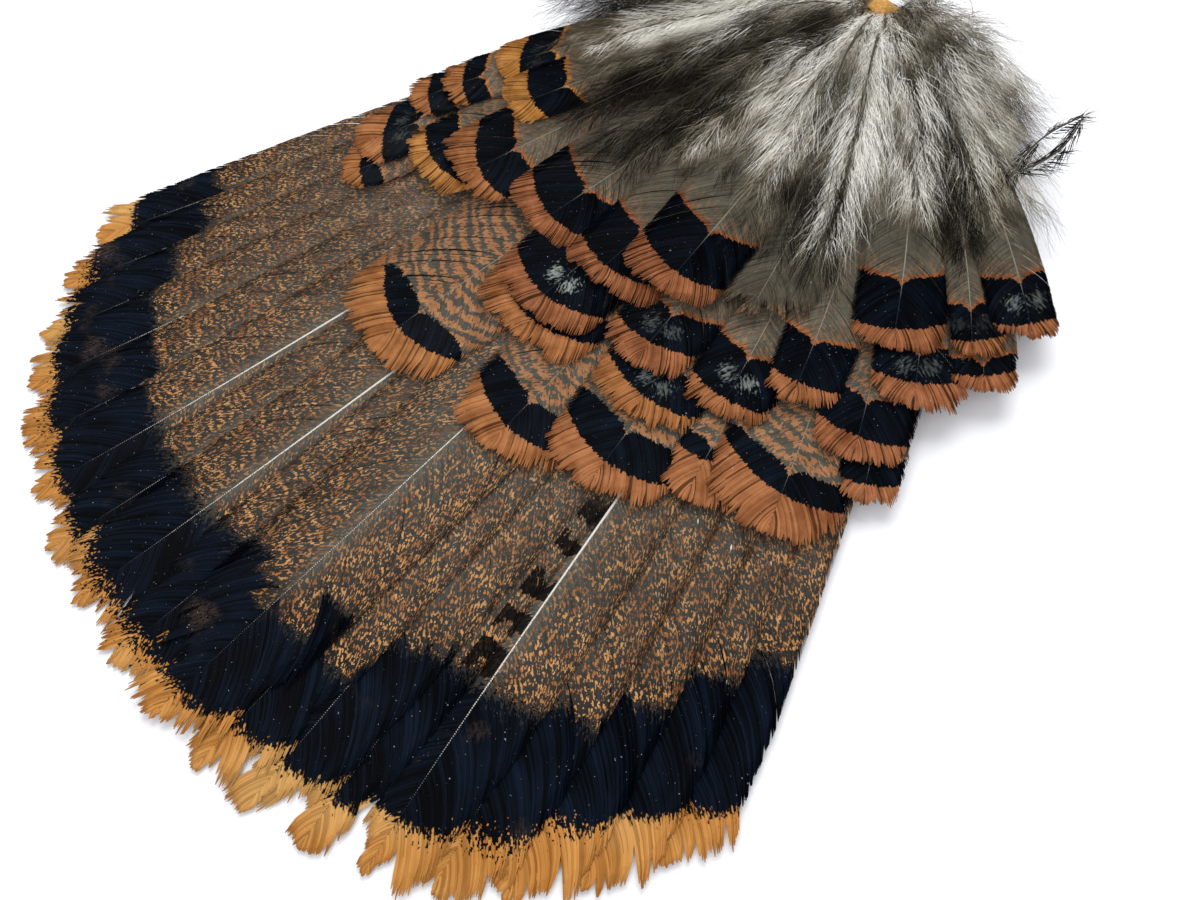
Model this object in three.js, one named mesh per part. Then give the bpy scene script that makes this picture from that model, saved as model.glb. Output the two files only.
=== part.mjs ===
// A dried turkey tail, spread as a fan and lying on its underside.
// Millimetres, +Z up. The origin is on the flat underside of the tail root,
// and the fan opens along -Y. Every feather is one closed solid.
import * as THREE from 'three';

// ---- driving dimensions (mm and degrees) ----
const FAN_RADIUS = 389;        // root to the longest tips
const TIP_FALL = 48;           // how much shorter the outermost tail feathers reach
const TIP_FALL_POWER = 3.2;    // high: only the outermost tips fall away
const LONGEST_AT = -0.06;      // fan position of the longest tail feather
const SPREAD_TIP = 31;         // half spread of the fan at its tips
const SPREAD_ROOT = 55;        // half spread of the quills where they leave the root
const SPREAD_SKEW = 5;         // how much wider the left half leaves the root
const ROOT_RADIUS = 44.7;      // front face of the root, round the origin
const QUILL_START = 45;        // quills begin just clear of the root
const ROOT_HEIGHT = 23.5;
const ROOT_BACK = 15;          // how far the root reaches behind the origin
const QUILL_HEIGHT = 12;       // drop of the tail feathers from root to tip
const TIP_HEIGHT = 1.5;        // centre line of the tail feathers at their tips
const DROP_POWER = 1.3;
const CAMBER = 3.2;            // fall of the fan's edges below its middle line
const VANE_HALF = 0.2;         // half thickness of a vane
const EDGE_HALF = 0.12;        // half thickness at a vane's edge
const TOP_LIFT = 1.6;          // the middle tail feather lies this much above the rest
const MIDLINE_GAP = 0.6;       // inner vanes stop this far short of the middle feather's line
const SHAFT_STEP = 0.5;        // length over which a shaft's direction is taken
const QUILL_EDGE_SHARE = 0.6;  // height of a quill's sides, as a share of its middle
const QUILL_RUN = 3;           // the quill keeps its full size to this far before the vane
const DEG = Math.PI / 180;

// Angle of each tail feather's tip from the fan's middle line, left to right.
const TAIL_ANGLES = [
  -31.0, -27.4, -23.8, -20.2, -16.3, -12.7, -8.7, -5.0, -0.8,
  3.3, 6.7, 10.0, 13.2, 16.4, 19.5, 22.5, 25.5, 28.5,
];
const TOP_ANGLE = 3.3;         // the tail feather that lies over all the others

// The slopes are the rise in mm from a feather to one that lies a unit of fan position away.
const TAIL = {
  name: 'tail_feather', slope: 7.3, vaneStart: 68, outer: 22, inner: 31,
  outerFall: 5, quillWidth: 1.35, quillHeight: 1.3, color: '#6e5c46',
};

// Rows of coverts, each lying over the one before. A row's lift is its height above the tail
// feathers. Each feather has the angle and radius of its tip, and its left and right half width.
const ROW_SLOPE = 4.0;
const ROWS = [
  {
    name: 'greater_covert', lift: 3.6, vaneStart: 60, color: '#8a5b39',
    feathers: [
      [-30, 239, 16, 14], [-8.5, 256, 34, 30], [6.5, 252, 25, 26], [15.5, 246, 25, 25],
      [23, 236, 12, 20], [30, 240, 26, 22], [37, 224, 10, 12],
    ],
  },
  {
    name: 'median_covert', lift: 5.8, vaneStart: 60, color: '#5d4a3a',
    feathers: [
      [-33.5, 231, 16, 18], [0.5, 213, 29, 27], [15.5, 216, 22, 22], [23, 204, 17, 17],
      [36, 210, 17, 18],
    ],
  },
  {
    name: 'lesser_covert', lift: 8.0, vaneStart: 60, color: '#4c4238',
    feathers: [
      [-38.5, 206, 13, 16], [-28, 208, 17, 28], [-0.5, 203, 26, 25], [13, 199, 18, 18],
      [29.5, 193, 12, 16], [41.5, 190, 16, 18], [49, 184, 12, 12],
    ],
  },
  {
    name: 'rump_feather', lift: 10.2, vaneStart: 62, color: '#3f3b36',
    feathers: [
      [-39, 190, 14, 16], [-22, 192, 25, 22], [-9, 178, 25, 22], [2.5, 179, 18, 26],
      [22, 166, 20, 20], [39.5, 168, 16, 17], [48.5, 171, 8, 12], [56, 167, 14, 10],
    ],
  },
  {
    name: 'upper_rump_feather', lift: 12.4, vaneStart: 66, color: '#4a463c',
    feathers: [[-41, 166, 14, 16], [-31, 163, 18, 14], [11, 170, 22, 19]],
  },
];
const COVERT_QUILL = { width: 1.2, height: 0.8 };

// Down: one crowned solid over the root and the bases of the rump feathers.
const DOWN = {
  lift: 14.0, overRoot: 0.4, inner: 6, reach: 142, shortReach: 45, from: -92, to: 92,
  crown: 17, rim: 1.2, across: 12, along: 9, color: '#8c8273',
};

// ---- the fan's own coordinates ----
// A fan position t runs from about -1 (left edge) to 1 (right edge).
// At a radius r it lies at the angle spread * t - skew * t * t, in degrees.
const nearness = (r) => Math.max(0, 1 - r / FAN_RADIUS);
const skewAt = (r) => SPREAD_SKEW * nearness(r) ** 2;
const spreadAt = (r) => SPREAD_TIP + (SPREAD_ROOT - SPREAD_TIP) * nearness(r) ** 2;
const positionAt = (angle, r) => {
  const spread = spreadAt(r);
  return 2 * angle / (spread + Math.sqrt(spread * spread - 4 * skewAt(r) * angle));
};
const fanPosition = (p) => positionAt(Math.atan2(p.x, -p.y) / DEG, p.length());
const shaftPoint = (t, r) => {
  const angle = (spreadAt(r) * t - skewAt(r) * t * t) * DEG;
  return new THREE.Vector2(r * Math.sin(angle), -r * Math.cos(angle));
};
// Plan distance in mm that one unit of t takes up.
const spacingAt = (t, r) => r * (spreadAt(r) - 2 * skewAt(r) * t) * DEG;

// Height of the bare fan surface over a point of the plan.
function bedHeight(p) {
  const near = nearness(p.length());
  return TIP_HEIGHT + QUILL_HEIGHT * near ** DROP_POWER - CAMBER * fanPosition(p) ** 2 * near;
}

// ---- shapes ----
// Closed solid through a row of rings that all have the same number of points.
function loft(rings) {
  const count = rings[0].length;
  const positions = rings.flat().flatMap((v) => [v.x, v.y, v.z]);
  const index = [];
  for (let i = 0; i + 1 < rings.length; i += 1) {
    for (let j = 0; j < count; j += 1) {
      const a = i * count + j;
      const b = i * count + ((j + 1) % count);
      index.push(a, b, b + count, a, b + count, a + count);
    }
  }
  const last = (rings.length - 1) * count;
  for (let j = 1; j + 1 < count; j += 1) {
    index.push(0, j + 1, j);
    index.push(last, last + j, last + j + 1);
  }
  const geometry = new THREE.BufferGeometry();
  geometry.setAttribute('position', new THREE.Float32BufferAttribute(positions, 3));
  geometry.setIndex(index);
  geometry.computeVertexNormals();
  return geometry;
}

// A vane widens over its first part and rounds off towards the tip. Shares of its length and width.
const WIDENING = 0.38;
const ROUND_FROM = 0.8;
const TIP_WIDTH = 0.5;
const QUILL_TAPER = 0.06;      // share of the vane over which the thick quill runs out
const STATIONS = [0, QUILL_TAPER, 0.14, 0.24, WIDENING, 0.54, 0.7, 0.82, 0.9, 0.96, 1];

// Share of its full width that a vane has at q, from 0 at its start to 1 at the tip.
function vaneShare(q) {
  const rise = Math.min(1, q / WIDENING);
  const round = Math.max(0, (q - ROUND_FROM) / (1 - ROUND_FROM));
  return rise * rise * (3 - 2 * rise) * (1 - (1 - TIP_WIDTH) * round ** 3);
}

// One feather: a quill that runs out into a thin vane along the fan line t.
// left and right give the vane's half width in mm at a radius r, and height
// gives the middle of the vane's thickness over a point of the plan.
function featherGeometry({ t, tip, vaneStart, quill, left, right, height }) {
  const rings = [];
  const addRing = (r, uLeft, uRight, edge, middle) => {
    const centre = shaftPoint(t, r);
    const ahead = shaftPoint(t, r + SHAFT_STEP).sub(centre).normalize();
    const across = new THREE.Vector2(-ahead.y, ahead.x);
    const at = (u, dz) => {
      const p = centre.clone().addScaledVector(across, u);
      return new THREE.Vector3(p.x, p.y, height(p) + dz);
    };
    rings.push([
      at(-uLeft, edge), at(-uLeft, -edge), at(0, -middle),
      at(uRight, -edge), at(uRight, edge), at(0, middle),
    ]);
  };
  const vaneLength = tip - vaneStart;
  for (const r of [QUILL_START, vaneStart - QUILL_RUN]) {
    addRing(r, quill.width, quill.width, quill.height * QUILL_EDGE_SHARE, quill.height);
  }
  for (const q of STATIONS) {
    const r = vaneStart + q * vaneLength;
    const taper = Math.max(0, 1 - q / QUILL_TAPER);
    const middle = VANE_HALF + (quill.height - VANE_HALF) / 2 * taper;
    const least = quill.width * (1 - q / 2);
    const [uLeft, uRight] = [left, right].map((width) => Math.max(least, width(r) * vaneShare(q)));
    addRing(r, uLeft, uRight, EDGE_HALF, middle);
  }
  return loft(rings);
}

// ---- pieces ----
function pieceMesh(name, geometry, color, roughness) {
  const material = new THREE.MeshStandardMaterial({ color, roughness, metalness: 0 });
  const mesh = new THREE.Mesh(geometry, material);
  mesh.name = name;
  return mesh;
}

const numbered = (name, i) => `${name}_${String(i + 1).padStart(2, '0')}`;

// Tail feathers: the middle one lies flat on top, and each one further out is
// tucked under its inner neighbour, its outer edge riding on the next.
function tailFeathers() {
  const group = new THREE.Group();
  const tTop = TOP_ANGLE / SPREAD_TIP;
  TAIL_ANGLES.forEach((angle, i) => {
    const t = angle / SPREAD_TIP;
    const side = Math.sign(angle - TOP_ANGLE);
    const innerWidth = (r) => Math.min(TAIL.inner, Math.abs(t - tTop) * spacingAt(t, r) - MIDLINE_GAP);
    const middleWidth = () => (TAIL.outer + TAIL.inner) / 2;
    const outerWidth = () => TAIL.outer - TAIL.outerFall * t ** 4;
    const widths = [
      { left: outerWidth, right: innerWidth },
      { left: middleWidth, right: middleWidth },
      { left: innerWidth, right: outerWidth },
    ][side + 1];
    const lift = side === 0 ? TOP_LIFT : 0;
    const geometry = featherGeometry({
      t,
      tip: FAN_RADIUS - TIP_FALL * Math.abs(t - LONGEST_AT) ** TIP_FALL_POWER,
      vaneStart: TAIL.vaneStart,
      quill: { width: TAIL.quillWidth, height: TAIL.quillHeight },
      left: widths.left,
      right: widths.right,
      height: (p) => bedHeight(p) + lift + side * TAIL.slope * (fanPosition(p) - t),
    });
    group.add(pieceMesh(numbered(TAIL.name, i), geometry, TAIL.color, 0.6));
  });
  return group;
}

// A row of coverts: every feather tilts the same way, so each overlaps the one on its left.
function covertRow(row) {
  const group = new THREE.Group();
  row.feathers.forEach(([angle, reach, left, right], i) => {
    const t = positionAt(angle, reach);
    const geometry = featherGeometry({
      t,
      tip: reach,
      vaneStart: row.vaneStart,
      quill: COVERT_QUILL,
      left: () => left,
      right: () => right,
      height: (p) => bedHeight(p) + row.lift + ROW_SLOPE * (t - fanPosition(p)),
    });
    group.add(pieceMesh(numbered(row.name, i), geometry, row.color, 0.65));
  });
  return group;
}

// Tail root: a flat-bottomed pad, its front face round where the quills leave it.
const ROOT_ARC = 78;           // the front face turns this many degrees to each side
const ROOT_ARC_STEP = 12;
const BACK_SHARES = [0.86, 0.5, 0, -0.5, -0.86];  // points of the back, as shares of the radius
const BACK_ROUNDING = 0.8;
const ROOT_LEVELS = [          // height, and how far the outline is drawn in there
  [0, 4], [3, 0.6], [7, 0], [ROOT_HEIGHT - 2, 0], [ROOT_HEIGHT, 3],
];

function tailRoot() {
  const outline = (inset) => {
    const points = [];
    const radius = ROOT_RADIUS - inset;
    const back = ROOT_BACK - inset;
    for (let a = -ROOT_ARC; a <= ROOT_ARC; a += ROOT_ARC_STEP) {
      points.push([radius * Math.sin(a * DEG), -radius * Math.cos(a * DEG)]);
    }
    for (const share of BACK_SHARES) {
      points.push([radius * share, back * Math.sqrt(1 - share * share * BACK_ROUNDING)]);
    }
    return points;
  };
  const rings = ROOT_LEVELS.map(
    ([z, inset]) => outline(inset).map(([x, y]) => new THREE.Vector3(x, y, z)),
  );
  return pieceMesh('tail_root', loft(rings), '#c98a3c', 0.55);
}

// Down: a sheet that follows the rump feathers below and is crowned on top.
function rumpDown() {
  const base = (p) => Math.max(ROOT_HEIGHT + DOWN.overRoot, bedHeight(p) + DOWN.lift);
  const rings = [];
  for (let i = 0; i <= DOWN.across; i += 1) {
    const angle = (DOWN.from + (DOWN.to - DOWN.from) * (i / DOWN.across)) * DEG;
    const side = 1 - (2 * i / DOWN.across - 1) ** 4;
    const reach = DOWN.shortReach + (DOWN.reach - DOWN.shortReach) * side;
    const below = [];
    const above = [];
    for (let j = 0; j <= DOWN.along; j += 1) {
      const r = DOWN.inner + (reach - DOWN.inner) * (j / DOWN.along);
      const p = new THREE.Vector2(r * Math.sin(angle), -r * Math.cos(angle));
      const crown = DOWN.crown * side * Math.sin(Math.PI * Math.sqrt(j / DOWN.along));
      below.push(new THREE.Vector3(p.x, p.y, base(p)));
      above.push(new THREE.Vector3(p.x, p.y, base(p) + DOWN.rim + crown));
    }
    rings.push([...above, ...below.reverse()]);
  }
  return pieceMesh('rump_down', loft(rings), DOWN.color, 0.95);
}

const group = new THREE.Group();
group.add(tailRoot(), tailFeathers(), ...ROWS.map(covertRow), rumpDown());

export default group;
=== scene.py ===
"""A turkey's tail fan, dried flat: 18 tail feathers, five rows of coverts over them, and the rump's down.

Sizes are in millimetres and angles in degrees, and MM turns a size into metres for Blender. The fan lies on
z = 0, with the root of the tail near the origin and the tips towards -Y. Each feather is a shaft with barbs
on both sides, grown by one Geometry Nodes tree, and the down is fibres on plume shafts, grown by another.
"""

import math

import bpy
import numpy as np
from mathutils import Matrix, Vector, noise


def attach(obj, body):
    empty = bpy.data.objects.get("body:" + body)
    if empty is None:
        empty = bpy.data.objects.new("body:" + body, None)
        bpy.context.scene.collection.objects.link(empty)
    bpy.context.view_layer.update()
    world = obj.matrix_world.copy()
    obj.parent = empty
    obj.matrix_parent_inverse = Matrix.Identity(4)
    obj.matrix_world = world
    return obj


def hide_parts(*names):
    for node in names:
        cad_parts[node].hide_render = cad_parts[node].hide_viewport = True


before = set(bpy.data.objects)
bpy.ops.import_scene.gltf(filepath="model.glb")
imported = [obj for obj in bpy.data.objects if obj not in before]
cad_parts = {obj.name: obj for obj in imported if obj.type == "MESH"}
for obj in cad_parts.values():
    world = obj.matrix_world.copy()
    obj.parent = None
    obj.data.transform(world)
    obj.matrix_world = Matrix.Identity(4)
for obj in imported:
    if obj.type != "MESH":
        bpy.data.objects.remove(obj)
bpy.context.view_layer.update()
MM = 0.001

# ---- The fan's own coordinates, by the rule that places the CAD feathers ----
# Places are given by t, from -1 at the left edge to 1 at the right, and r, the distance from the root.
FAN_RADIUS = 389.0
SPREAD_TIP = 31.0
SPREAD_ROOT = 55.0
SPREAD_SKEW = 5.0
TIP_FALL = 48.0
FALL_POWER = 3.2
LONGEST_AT = -0.06
QUILL_START = 45.0
QUILL_HEIGHT = 12.0
TIP_HEIGHT = 1.5
DROP_POWER = 1.3
CAMBER = 3.2
TOP_LIFT = 1.6
TAIL_SLOPE = 7.3
TAIL_ANGLES = [-31.0, -27.4, -23.8, -20.2, -16.3, -12.7, -8.7, -5.0, -0.8,
               3.3, 6.7, 10.0, 13.2, 16.4, 19.5, 22.5, 25.5, 28.5]
TOP_ANGLE = 3.3
ROW_SLOPE = 4.0

# Rows of coverts: height over the bed, where the vanes start, their slot, then the feathers from left to
# right. Each one has the angle and radius of its tip, left and right half width, then its markings: fringe,
# band and how many mm they slant per mm across, how plain it is (0 barred, 1 olive grey), pale spots and
# gold in the fringe.
ROWS = {
    "greater_covert": (3.6, 60.0, "covert_vane", [
        (-30.0, 239, 16, 14, 9, 9, 0.10, 0.2, 0.0, 0.3), (-8.5, 256, 34, 30, 15, 12, 0.0, 0.0, 0.0, 0.3),
        (6.5, 252, 25, 26, 12, 14, 0.16, 0.1, 0.0, 0.2), (15.5, 246, 25, 25, 13, 15, 0.20, 0.1, 0.0, 0.1),
        (23.0, 236, 12, 20, 17, 7, 0.10, 0.1, 0.0, 0.1), (30.0, 240, 26, 22, 16, 10, 0.36, 0.1, 0.0, 0.1),
        (37.0, 224, 10, 12, 8, 10, 0.10, 0.3, 0.0, 0.0)]),
    "median_covert": (5.8, 60.0, "covert_vane", [
        (-33.5, 231, 16, 18, 13, 17, 0.22, 0.3, 0.1, 0.2), (0.5, 213, 29, 27, 10, 15, 0.0, 0.2, 0.0, 0.2),
        (15.5, 216, 22, 22, 10, 15, 0.22, 0.2, 0.25, 0.3), (23.0, 204, 17, 17, 8, 20, 0.25, 0.8, 0.45, 0.1),
        (36.0, 210, 17, 18, 10, 16, 0.30, 0.4, 0.0, 0.0)]),
    "lesser_covert": (8.0, 60.0, "covert_vane", [
        (-38.5, 206, 13, 16, 9, 11, 0.0, 0.4, 0.0, 0.2), (-28.0, 208, 17, 28, 9, 15, -0.12, 0.4, 0.0, 0.7),
        (-0.5, 203, 26, 25, 10, 20, 0.0, 0.6, 0.75, 0.0), (13.0, 199, 18, 18, 12, 16, 0.06, 0.7, 0.15, 0.0),
        (29.5, 193, 12, 16, 9, 19, 0.25, 0.9, 0.0, 0.1), (41.5, 190, 16, 18, 11, 14, 0.12, 0.7, 0.15, 0.0),
        (49.0, 184, 12, 12, 7, 7, 0.0, 0.7, 0.0, 0.0)]),
    "rump_feather": (10.2, 62.0, "rump_vane", [
        (-39.0, 190, 14, 16, 9, 10, 0.0, 0.6, 0.0, 0.3), (-22.0, 192, 25, 22, 10, 18, 0.05, 0.7, 0.0, 0.2),
        (-9.0, 178, 25, 22, 9, 19, 0.0, 0.9, 0.0, 0.0), (2.5, 179, 18, 26, 9, 21, 0.06, 0.9, 0.0, 0.0),
        (22.0, 166, 20, 20, 0, 0, 0.0, 1.0, 0.0, 0.0), (39.5, 168, 16, 17, 9, 22, 0.0, 1.0, 0.0, 0.0),
        (48.5, 171, 8, 12, 7, 15, 0.0, 0.9, 0.05, 0.1), (56.0, 167, 14, 10, 7, 20, 0.0, 1.0, 0.3, 0.0)]),
    "upper_rump_feather": (12.4, 66.0, "rump_vane", [
        (-41.0, 166, 14, 16, 11, 16, 0.1, 0.8, 0.05, 0.9), (-31.0, 163, 18, 14, 11, 17, -0.15, 0.8, 0.0, 0.9),
        (11.0, 170, 22, 19, 11, 23, 0.15, 1.0, 0.0, 0.0)]),
}

# ---- The nodes that the trees use, most of them with the setting that makes them what they are ----

def variants(node, setting, choices):
    """A kind of node with one of its settings, once for each choice."""
    return [(node, {setting: choice}) for choice in choices.split()]


PLUS, MINUS, TIMES, OVER, TIMES_PLUS, POWER, LEAST, MOST = variants(
    "ShaderNodeMath", "operation", "ADD SUBTRACT MULTIPLY DIVIDE MULTIPLY_ADD POWER MINIMUM MAXIMUM")
ABOVE, BELOW, ABSOLUTE, SIGN, SINE, COSINE, FLOOR, REMAINDER = variants(
    "ShaderNodeMath", "operation", "GREATER_THAN LESS_THAN ABSOLUTE SIGN SINE COSINE FLOOR MODULO")
VECTOR_PLUS, VECTOR_MINUS, VECTOR_TIMES, SCALED, VECTOR_LEAST, VECTOR_MOST = variants(
    "ShaderNodeVectorMath", "operation", "ADD SUBTRACT MULTIPLY SCALE MINIMUM MAXIMUM")
CROSS, DOT, DIRECTION, DISTANCE, LENGTH = variants(
    "ShaderNodeVectorMath", "operation", "CROSS_PRODUCT DOT_PRODUCT NORMALIZE DISTANCE LENGTH")
READ, READ_WHOLE, READ_VECTOR = variants(
    "GeometryNodeInputNamedAttribute", "data_type", "FLOAT INT FLOAT_VECTOR")
BLEND, BETWEEN = variants("ShaderNodeMix", "data_type", "RGBA VECTOR")
DARKENED = ("ShaderNodeMix", {"data_type": "RGBA", "blend_type": "MULTIPLY"})
MIX = "ShaderNodeMix"
RANGE = "ShaderNodeMapRange"
SMOOTH_RANGE = (RANGE, {"interpolation_type": "SMOOTHSTEP"})
CHANCE = ("FunctionNodeRandomValue", {"data_type": "FLOAT"})
SAMPLE = ("GeometryNodeSampleIndex", {"data_type": "FLOAT_VECTOR"})
STORE = "GeometryNodeStoreNamedAttribute"
INDEX = "GeometryNodeInputIndex"
POSITION = "GeometryNodeInputPosition"
SET_POSITION = "GeometryNodeSetPosition"
REALIZE = "GeometryNodeRealizeInstances"
NOISE = "ShaderNodeTexNoise"
ATTRIBUTE = "ShaderNodeAttribute"
COORDINATES = "ShaderNodeTexCoord"
PARTS = "ShaderNodeSeparateXYZ"
COMBINED = "ShaderNodeCombineXYZ"
SHADER = "ShaderNodeBsdfPrincipled"
MATERIAL_OUTPUT = "ShaderNodeOutputMaterial"


def add(tree, kind, inputs=(), out=0, **settings):
    """Adds a node with its settings, fills or links its inputs, and gives back one of its outputs."""
    if isinstance(kind, tuple):
        kind, settings = kind[0], {**kind[1], **settings}
    node = tree.nodes.new(kind)
    for name, value in settings.items():
        setattr(node, name, value)
    sockets = [s for s in node.inputs if s.enabled]
    pairs = inputs.items() if isinstance(inputs, dict) else enumerate(inputs)
    for key, value in pairs:
        socket = sockets[key] if isinstance(key, int) else next(s for s in sockets if s.name == key)
        if isinstance(value, bpy.types.NodeSocket):
            tree.links.new(value, socket)
        else:
            socket.default_value = value
    outputs = [s for s in node.outputs if s.enabled]
    if not outputs:
        return node
    return outputs[out] if isinstance(out, int) else next(s for s in outputs if s.name == out)


def shifted(tree, value, pattern, much):
    """A value that a 0 to 1 pattern moves up and down: much is the whole of the swing."""
    middle = add(tree, MINUS, [pattern, 0.5])
    return add(tree, TIMES_PLUS, [middle, much, value])


def start_tree(name, inputs, result):
    """A tree with named inputs: a number is its input's default, a word is the kind of its socket."""
    tree = bpy.data.node_groups.new(name, "GeometryNodeTree")
    for key, value in inputs.items():
        kind = value if isinstance(value, str) else type(value).__name__.capitalize()
        socket = tree.interface.new_socket(key, in_out="INPUT", socket_type="NodeSocket" + kind)
        if value != kind:
            socket.default_value = value
    tree.interface.new_socket(result, in_out="OUTPUT", socket_type="NodeSocketGeometry")
    return tree, {s.name: s for s in tree.nodes.new("NodeGroupInput").outputs}


def end_tree(tree, shaft, rest, bake_map, extras, finish):
    """Joins the shaft and what grows on it, and makes them plain faces with a bake map and a material."""
    whole = add(tree, "GeometryNodeJoinGeometry")
    tree.links.new(shaft, whole.node.inputs[0])
    tree.links.new(rest, whole.node.inputs[0])
    for name, value in extras.items():
        whole = add(tree, STORE, {"Geometry": whole, "Name": name, "Value": value}, data_type="FLOAT_VECTOR")
    whole = add(tree, STORE, {"Geometry": whole, "Name": "OFBake", "Value": bake_map}, data_type="FLOAT2",
                domain="CORNER")
    whole = add(tree, REALIZE, {"Geometry": whole})
    whole = add(tree, "GeometryNodeSetMaterial", {"Geometry": whole, "Material": finish})
    add(tree, "NodeGroupOutput", [whole])
    return tree


def colour(code):
    """An sRGB hex value as the linear colour that a shader takes."""
    parts = [int(code[i:i + 2], 16) / 255 for i in (1, 3, 5)]
    return (*(p / 12.92 if p <= 0.04045 else ((p + 0.055) / 1.055) ** 2.4 for p in parts), 1.0)


def put(name, data):
    """A new object in the scene, with the given mesh, lamp or camera."""
    thing = bpy.data.objects.new(name, data)
    bpy.context.scene.collection.objects.link(thing)
    return thing


# ---- Where a feather lies ----

def nearness(r):
    """1 at the root of the fan, 0 at its rim."""
    return np.maximum(0.0, 1.0 - r / FAN_RADIUS)


def spread_at(r):
    return SPREAD_TIP + (SPREAD_ROOT - SPREAD_TIP) * nearness(r) ** 2


def skew_at(r):
    return SPREAD_SKEW * nearness(r) ** 2


def position_at(angle, r):
    """Place across the fan, from -1 at its left edge to 1 at its right, of a direction in degrees."""
    spread = spread_at(r)
    return 2 * angle / (spread + np.sqrt(spread * spread - 4 * skew_at(r) * angle))


def fan_position(x, y):
    return position_at(np.degrees(np.arctan2(x, -y)), np.hypot(x, y))


def shaft_point(t, r):
    angle = np.radians(spread_at(r) * t - skew_at(r) * t * t)
    return r * np.sin(angle), -r * np.cos(angle)


def spacing_at(t, r):
    """mm across the fan for one unit of t."""
    return r * np.radians(spread_at(r) - 2 * skew_at(r) * t)


def bed_height(x, y):
    """Height of the bed of tail feathers over the table, high at the quills and low at the rim."""
    near = nearness(np.hypot(x, y))
    return TIP_HEIGHT + QUILL_HEIGHT * near ** DROP_POWER - CAMBER * fan_position(x, y) ** 2 * near


def plan_point(t, r, across):
    """x, y of a point that lies across mm to the right of the shaft of the feather at t."""
    step = 0.5
    x, y = shaft_point(t, r)
    ahead_x, ahead_y = shaft_point(t, r + step)
    length = np.hypot(ahead_x - x, ahead_y - y)
    return x - across * (ahead_y - y) / length, y + across * (ahead_x - x) / length


# ---- Feathers ----

# Share of its length at which a vane has its full width.
WIDE_FROM = 0.38


class Feather:
    """Where one feather lies and how wide it is. Lengths are in mm."""

    def __init__(self, name, t, tip, start, left, right, height, shaft_end, sweep, square, round_from):
        self.name, self.t, self.tip, self.start = name, t, tip, start
        self.left, self.right, self.height = left, right, height
        self.shaft_end, self.sweep, self.square, self.round_from = shaft_end, sweep, square, round_from

    def share(self, q):
        """Width of the vane along it, as a share of its most: it widens out of the quill."""
        rise = np.minimum(1.0, np.maximum(q, 0.0) / WIDE_FROM)
        return rise * rise * (3 - 2 * rise)

    def ends(self, roots, width):
        """(r, across) where each barb that starts at one of the roots ends, on the outline of the vane."""
        length = self.tip - self.start
        round_at = self.start + self.round_from * length
        r_line = np.linspace(self.start, round_at, 200)
        half_line = width(r_line) * self.share((r_line - self.start) / length)
        root_line = r_line - self.sweep * half_line
        last_root = root_line[-1]
        straight = roots <= last_root
        r = np.interp(roots, root_line, r_line)
        across = np.interp(r, r_line, half_line)
        # Past that, the barbs end evenly spaced along the rounded tip.
        turn = np.linspace(0, math.pi / 2, 300)
        r_turn = round_at + (self.tip - round_at) * np.sin(turn) ** (2 / self.square)
        across_turn = half_line[-1] * np.maximum(np.cos(turn), 0) ** (2 / self.square)
        run = np.concatenate([[0], np.cumsum(np.hypot(np.diff(r_turn), np.diff(across_turn)))])
        share = np.clip((roots - last_root) / (self.shaft_end - last_root), 0, 1) ** 0.9
        r_tip = np.interp(share * run[-1], run, r_turn)
        across_tip = np.interp(share * run[-1], run, across_turn)
        return np.where(straight, r, r_tip), np.where(straight, across, across_tip)

    def place(self, r, across):
        """Points in metres."""
        x, y = plan_point(self.t, r, across)
        return np.stack([x, y, self.height(x, y)], axis=-1) * MM

    def rails(self, barbs, shaft_radii):
        """The mesh that the tree grows on: the barbs' roots, their left ends, their right ends, the shaft."""
        # Near the quill, where little shows, the barbs stand further apart.
        dense_from = self.start + 0.42 * (self.shaft_end - self.start)
        roots = np.interp(np.linspace(0, 1, barbs), [0, 0.28, 1], [self.start, dense_from, self.shaft_end])
        sets = [self.place(roots, np.zeros(barbs))]
        for side, width in ((-1, self.left), (1, self.right)):
            r, across = self.ends(roots, width)
            sets.append(self.place(r, side * across))
        stations = np.linspace(QUILL_START, self.shaft_end + 2, 48)
        sets.append(self.place(stations, np.zeros(stations.size)))
        points = np.concatenate(sets)
        first = 3 * barbs
        edges = [(first + i, first + i + 1) for i in range(stations.size - 1)]
        mesh = bpy.data.meshes.new(self.name + " rails")
        mesh.from_pydata(points.tolist(), edges, [])
        radius = mesh.attributes.new("shaft_radius", "FLOAT", "POINT")
        values = np.zeros(len(points), np.float32)
        share = (stations - stations[0]) / (stations[-1] - stations[0])
        values[first:] = np.interp(share, [0, 0.3, 0.7, 1], shaft_radii) * MM
        radius.data.foreach_set("value", values)
        return mesh


# A three-sided rod of radius 1 is 1.73 wide and 1.5 tall. These make it 1 wide and 1 tall.
ROD_WIDTH = 0.577
ROD_HEIGHT = 0.67
TO_MM = 1000.0
# mm off the shaft at which a band has bent back by its whole curve.
CURVE_AT = 28.0
# The bake map in units of its own square: along the fan, across a vane about its middle, and the shaft's
# strip.
MAP_PER_METRE = 2.5
MAP_PER_MM = 1 / 66
MAP_MIDDLE = 0.48
MAP_SHAFT = 0.985


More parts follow.
